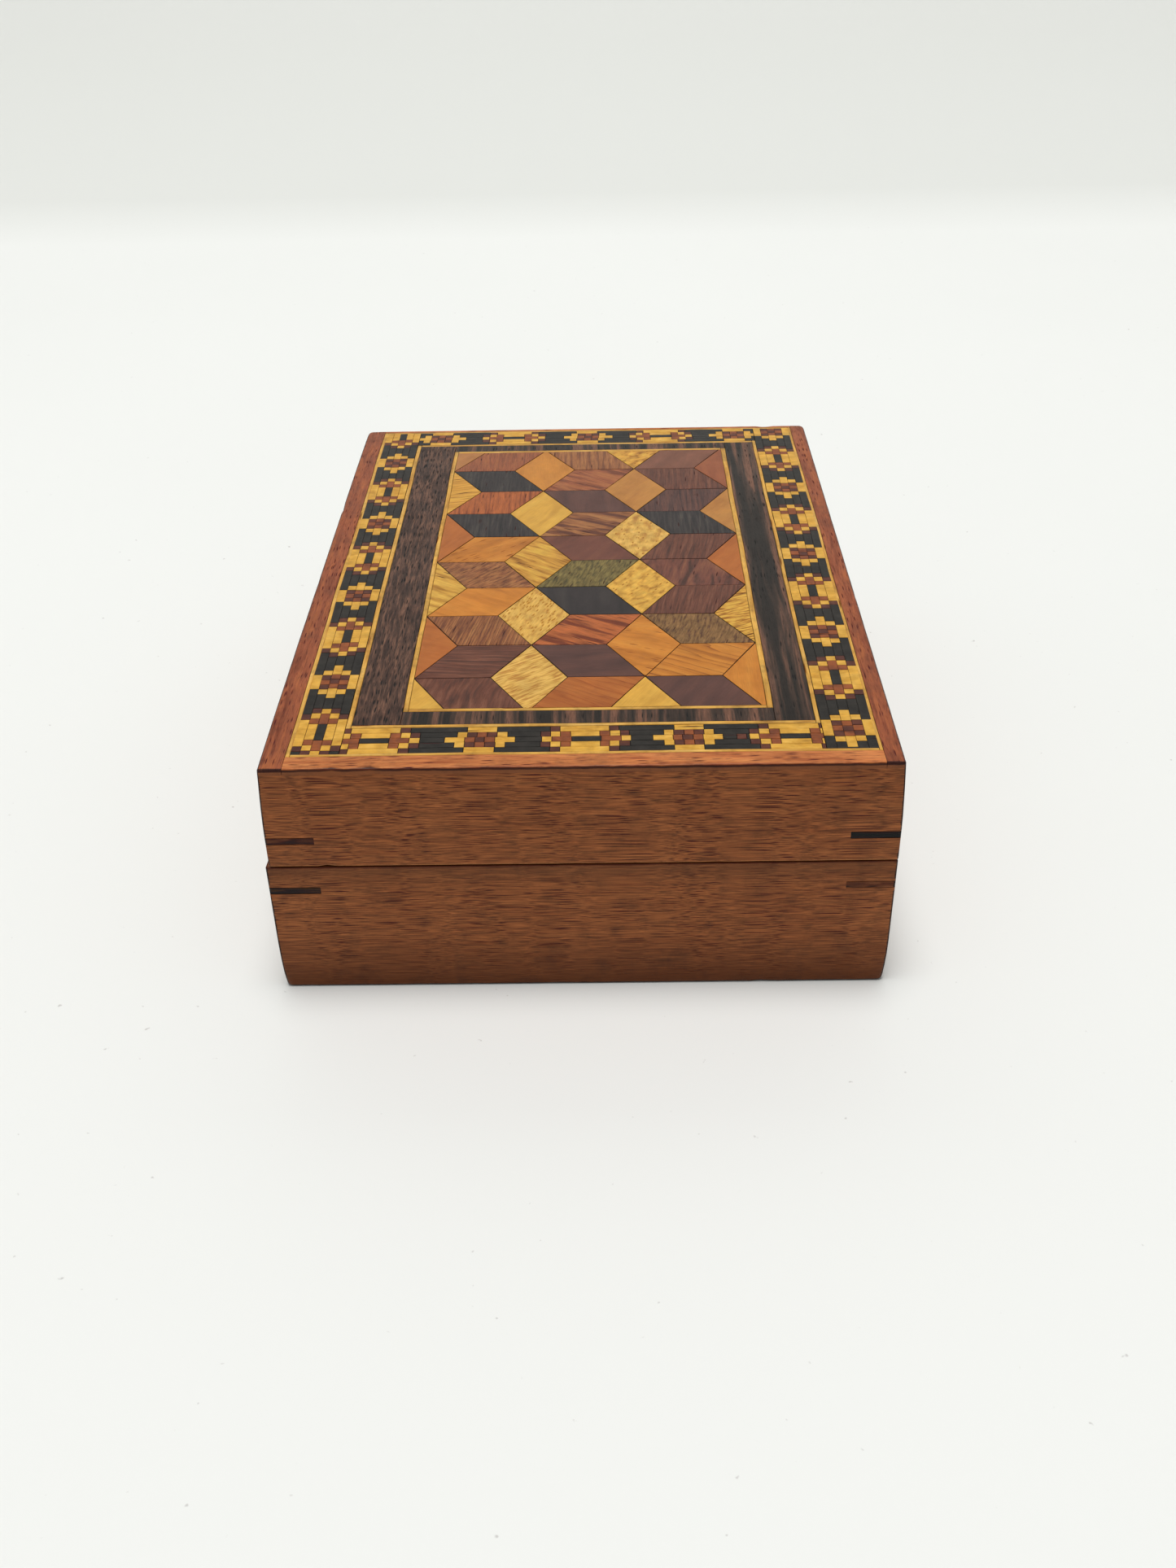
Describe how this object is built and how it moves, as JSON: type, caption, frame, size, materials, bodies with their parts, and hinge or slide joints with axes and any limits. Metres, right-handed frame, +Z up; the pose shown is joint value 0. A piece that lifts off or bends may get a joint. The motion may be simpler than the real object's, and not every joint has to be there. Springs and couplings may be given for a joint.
{
  "type": "inlaid wooden box",
  "caption": "Small keepsake box with keyed mitred walls and a hinged lid, its top inlaid with cube parquetry, mosaic banding and pale stringing.",
  "frame": {"origin": "centre of the underside", "axes": "+Z up, +Y along the box from the front short end to the back short end, +X across the box, away from the hinged left side"},
  "size_m": [0.0785, 0.107, 0.033],
  "materials": {
    "carcase": "old french polish, worn satin, walnut",
    "board": "plain scraped wood",
    "key": "satin, ebony",
    "crossband": "satin polish, mahogany",
    "stringing": "satin polish, boxwood",
    "mosaic": "satin polish, end-grain mosaic of boxwood, ebony and mahogany",
    "dark_band": "satin polish, coromandel",
    "cube_panel": "satin polish, many specimen woods",
    "brass": "aged brass",
    "lining": "short-pile velvet"
  },
  "bodies": {
    "base": {"base_wall_front": "carcase", "base_wall_back": "carcase", "base_wall_left": "carcase", "base_wall_right": "carcase", "base_key_front_left": "key", "base_key_front_right": "key", "base_key_back_left": "key", "base_key_back_right": "key", "bottom_board": "board", "base_lining": "lining", "hinge_front_base_leaf": "brass", "hinge_front_pin": "brass", "hinge_front_base_screw_1": "brass", "hinge_front_base_screw_2": "brass", "hinge_back_base_leaf": "brass", "hinge_back_pin": "brass", "hinge_back_base_screw_1": "brass", "hinge_back_base_screw_2": "brass"},
    "lid": {"lid_wall_front": "carcase", "lid_wall_back": "carcase", "lid_wall_left": "carcase", "lid_wall_right": "carcase", "lid_key_front_left": "key", "lid_key_front_right": "key", "lid_key_back_left": "key", "lid_key_back_right": "key", "lid_board": "board", "lid_lining": "lining", "crossband_front": "crossband", "crossband_back": "crossband", "crossband_left": "crossband", "crossband_right": "crossband", "outer_stringing_front": "stringing", "outer_stringing_back": "stringing", "outer_stringing_left": "stringing", "outer_stringing_right": "stringing", "mosaic_band_front": "mosaic", "mosaic_band_back": "mosaic", "mosaic_band_left": "mosaic", "mosaic_band_right": "mosaic", "inner_stringing_front": "stringing", "inner_stringing_back": "stringing", "inner_stringing_left": "stringing", "inner_stringing_right": "stringing", "dark_band_front": "dark_band", "dark_band_back": "dark_band", "dark_band_left": "dark_band", "dark_band_right": "dark_band", "panel_stringing_front": "stringing", "panel_stringing_back": "stringing", "panel_stringing_left": "stringing", "panel_stringing_right": "stringing", "cube_panel": "cube_panel", "hinge_front_lid_leaf": "brass", "hinge_front_lid_screw_1": "brass", "hinge_front_lid_screw_2": "brass", "hinge_back_lid_leaf": "brass", "hinge_back_lid_screw_1": "brass", "hinge_back_lid_screw_2": "brass"}
  },
  "joints": [
    {"name": "lid_hinge", "type": "hinge", "parent": "base", "child": "lid", "pos_m": [-0.03935, 0, 0.019], "axis": [0, -1, 0], "range_deg": [0, 183.5]}
  ]
}
